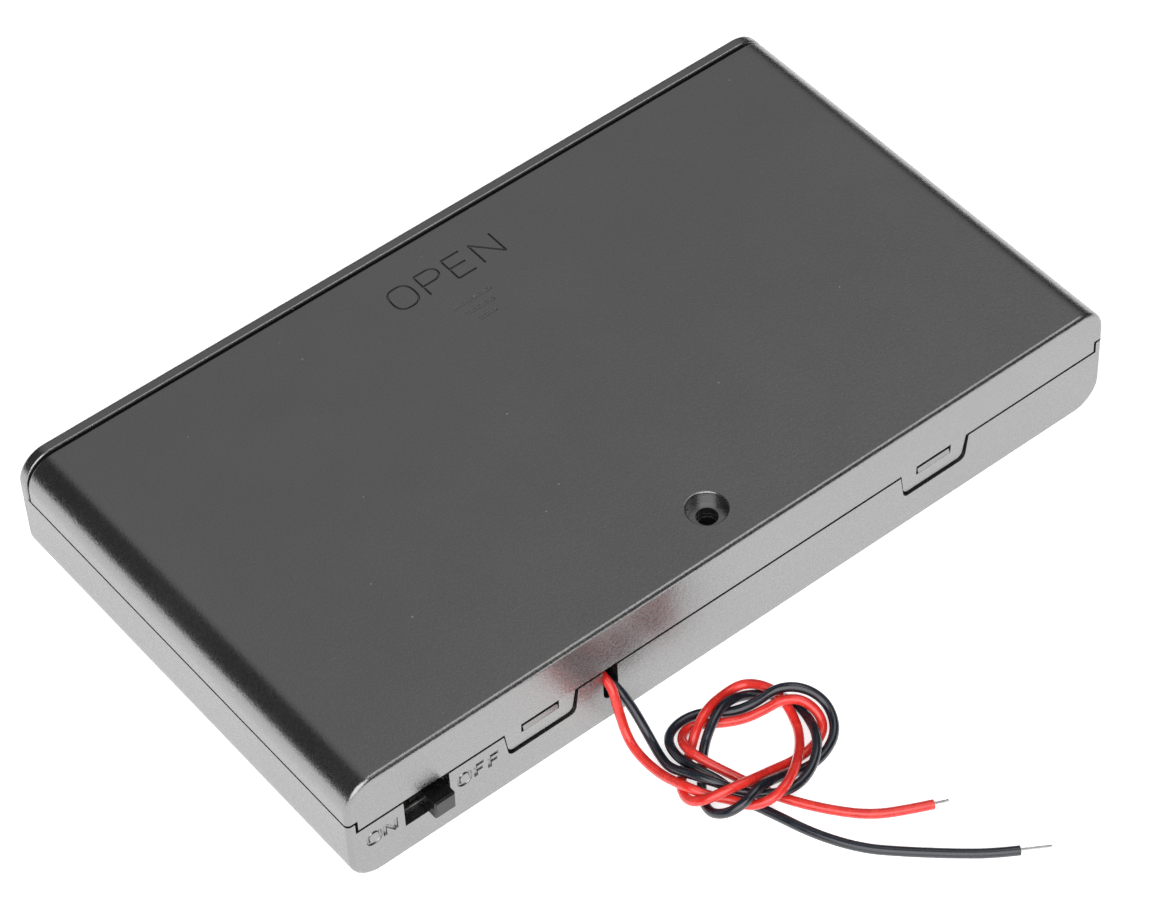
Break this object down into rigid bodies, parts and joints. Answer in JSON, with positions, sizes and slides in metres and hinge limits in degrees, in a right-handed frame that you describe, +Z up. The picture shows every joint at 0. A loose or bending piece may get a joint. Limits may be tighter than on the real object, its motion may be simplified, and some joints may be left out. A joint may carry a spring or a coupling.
{
  "type": "cylindrical cell holder",
  "caption": "Flat closed holder for a row of cylindrical cells, with a sliding screw-down cover, a slide switch in the front wall and a knotted pair of red and black leads.",
  "frame": {"origin": "middle of the case's flat bottom face, where it stands", "axes": "+X along the case's long side, +Y from the front wall with the switch, tabs and leads to the back wall, +Z up through the cover"},
  "size_m": [0.1258, 0.1233, 0.0184],
  "materials": {
    "black_plastic": "fine matt texture",
    "knob_plastic": "smooth",
    "switch_steel": "plated sheet",
    "laminate": "pressed paper laminate",
    "contact_steel": "nickel plated",
    "spring_steel": "nickel plated wire",
    "pin_metal": "tinned",
    "red_sleeve": "soft glossy sleeve",
    "black_sleeve": "soft glossy sleeve",
    "tinned_wire": "tinned strands"
  },
  "bodies": {
    "tray": {"case_base": "black_plastic", "back_link_1": "contact_steel", "back_link_2": "contact_steel", "back_link_3": "contact_steel", "back_link_4": "contact_steel", "front_link_1": "contact_steel", "front_link_2": "contact_steel", "front_link_3": "contact_steel", "positive_terminal": "contact_steel", "negative_terminal": "contact_steel", "spring_1": "spring_steel", "spring_2": "spring_steel", "spring_3": "spring_steel", "spring_4": "spring_steel", "spring_5": "spring_steel", "spring_6": "spring_steel", "spring_7": "spring_steel", "spring_8": "spring_steel", "switch_shell": "switch_steel", "switch_insulator": "laminate", "switch_pin_1": "pin_metal", "switch_pin_2": "pin_metal", "switch_pin_3": "pin_metal", "jumper_wire": "red_sleeve", "red_inner_lead": "red_sleeve", "black_inner_lead": "black_sleeve", "red_lead": "red_sleeve", "black_lead": "black_sleeve", "red_tip": "tinned_wire", "black_tip": "tinned_wire"},
    "cover": {"sliding_cover": "black_plastic"},
    "knob": {"switch_knob": "knob_plastic"}
  },
  "joints": [
    {"name": "cover_slide", "type": "slide", "parent": "tray", "child": "cover", "axis": [0, -1, 0], "range_m": [0, 0.075]},
    {"name": "switch_slide", "type": "slide", "parent": "tray", "child": "knob", "axis": [-1, 0, 0], "range_m": [0, 0.0027]}
  ]
}
